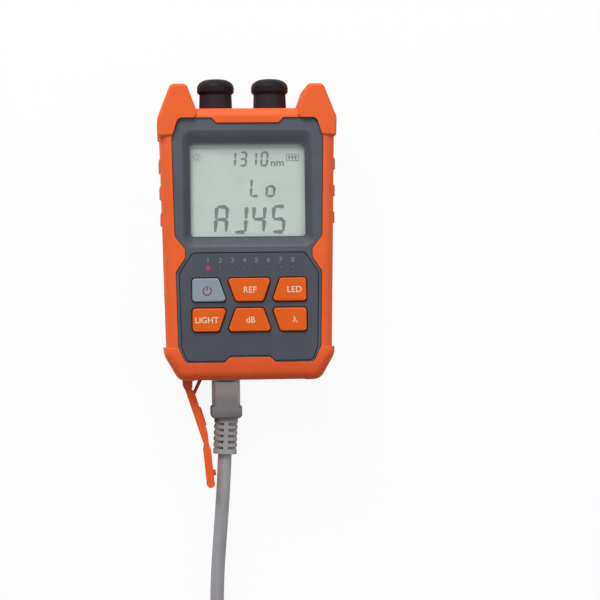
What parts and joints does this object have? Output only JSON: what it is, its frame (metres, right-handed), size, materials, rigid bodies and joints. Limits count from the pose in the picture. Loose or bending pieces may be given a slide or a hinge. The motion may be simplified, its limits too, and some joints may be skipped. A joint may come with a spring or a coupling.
{
  "type": "optical power meter",
  "caption": "Handheld fibre-optic power meter in a soft bumper case with a backlit display, a trapezoidal keypad, capped optical ports and a network test lead plugged in.",
  "frame": {"origin": "centre of the meter's back face", "axes": "+Z out of the back face towards the display side, +Y along the case towards the two optical ports, +X to the right of the display as it is read"},
  "size_m": [0.0899, 0.3433, 0.0326],
  "materials": {
    "grip_orange": "satin soft-touch rubber",
    "case_grey": "fine-grained moulded plastic",
    "keypad_dark": "matt printed plate",
    "key_orange": "satin moulded key",
    "key_grey": "satin moulded key",
    "window_clear": "clear glued window",
    "lcd_glass": "reflective liquid-crystal panel",
    "light_white": "white light guide",
    "holder_white": "white moulded frame",
    "board_green": "solder mask",
    "chip_black": "moulded chip body",
    "screw_steel": "plated steel",
    "lens_clear": "clear light pipe",
    "lens_red": "lit light pipe",
    "port_metal": "nickel-plated brass",
    "sleeve_ceramic": "zirconia sleeve",
    "torch_clear": "clear epoxy",
    "cap_black": "soft black rubber",
    "jack_black": "moulded socket body",
    "contact_gold": "gold-plated contacts",
    "cell_wrap": "printed cell wrap, plain",
    "plug_clear": "clear polycarbonate",
    "lead_grey": "soft grey PVC",
    "strap_orange": "soft orange rubber",
    "tie_black": "soft tie"
  },
  "bodies": {
    "case": {"front_housing": "case_grey", "rear_housing": "case_grey", "front_grip": "grip_orange", "rear_grip": "grip_orange", "port_cover_pin": "screw_steel", "keypad_plate": "keypad_dark", "key_switches": "chip_black", "indicator_lit": "lens_red", "indicator_lenses": "lens_clear", "indicator_chips": "light_white", "display_window": "window_clear", "lcd_panel": "lcd_glass", "lcd_backlight": "light_white", "lcd_holder": "holder_white", "main_board": "board_green", "board_screws": "screw_steel", "board_chips": "chip_black", "case_screws": "screw_steel", "power_port_barrel": "port_metal", "laser_port_barrel": "port_metal", "power_port_sleeve": "sleeve_ceramic", "laser_port_sleeve": "sleeve_ceramic", "photodiode": "port_metal", "fault_laser": "port_metal", "torch_led": "torch_clear", "battery_cell_1": "cell_wrap", "battery_cell_2": "cell_wrap", "battery_cell_3": "cell_wrap", "cell_contacts": "screw_steel", "network_jack": "jack_black", "jack_contacts": "contact_gold", "charging_socket": "jack_black", "socket_pin": "port_metal"},
    "power_button": {"power_key": "key_grey"},
    "ref_button": {"ref_key": "key_orange"},
    "led_button": {"led_key": "key_orange"},
    "light_button": {"light_key": "key_orange"},
    "db_button": {"db_key": "key_orange"},
    "wavelength_button": {"wavelength_key": "key_orange"},
    "door": {"battery_door": "case_grey"},
    "cover": {"port_cover": "strap_orange"},
    "power_cap": {"power_port_cap": "cap_black"},
    "laser_cap": {"laser_port_cap": "cap_black"},
    "lead": {"lead_plug": "plug_clear", "lead_contacts": "contact_gold", "lead_boot": "lead_grey", "lead_cable": "lead_grey", "lead_coil": "lead_grey", "lead_tail": "lead_grey", "coil_tie": "tie_black", "far_plug": "plug_clear", "far_contacts": "contact_gold", "far_boot": "lead_grey"}
  },
  "joints": [
    {"name": "press_power_key", "type": "slide", "parent": "case", "child": "power_button", "axis": [0, 0, -1], "range_m": [0, 0.0006], "stiffness_N_per_m": 900},
    {"name": "press_ref_key", "type": "slide", "parent": "case", "child": "ref_button", "axis": [0, 0, -1], "range_m": [0, 0.0006], "stiffness_N_per_m": 900},
    {"name": "press_led_key", "type": "slide", "parent": "case", "child": "led_button", "axis": [0, 0, -1], "range_m": [0, 0.0006], "stiffness_N_per_m": 900},
    {"name": "press_light_key", "type": "slide", "parent": "case", "child": "light_button", "axis": [0, 0, -1], "range_m": [0, 0.0006], "stiffness_N_per_m": 900},
    {"name": "press_db_key", "type": "slide", "parent": "case", "child": "db_button", "axis": [0, 0, -1], "range_m": [0, 0.0006], "stiffness_N_per_m": 900},
    {"name": "press_wavelength_key", "type": "slide", "parent": "case", "child": "wavelength_button", "axis": [0, 0, -1], "range_m": [0, 0.0006], "stiffness_N_per_m": 900},
    {"name": "power_cap_off", "type": "slide", "parent": "case", "child": "power_cap", "axis": [0, 1, 0], "range_m": [0, 0.02]},
    {"name": "laser_cap_off", "type": "slide", "parent": "case", "child": "laser_cap", "axis": [0, 1, 0], "range_m": [0, 0.02]},
    {"name": "door_open", "type": "hinge", "parent": "case", "child": "door", "pos_m": [0, -0.00595, 0], "axis": [1, 0, 0], "range_deg": [0, 80]},
    {"name": "cover_swing", "type": "hinge", "parent": "case", "child": "cover", "pos_m": [-0.0256, -0.0588, 0.01245], "axis": [0, 0, -1], "range_deg": [0, 75]},
    {"name": "lead_unplug", "type": "slide", "parent": "case", "child": "lead", "axis": [0, -1, 0], "range_m": [0, 0.01]}
  ]
}
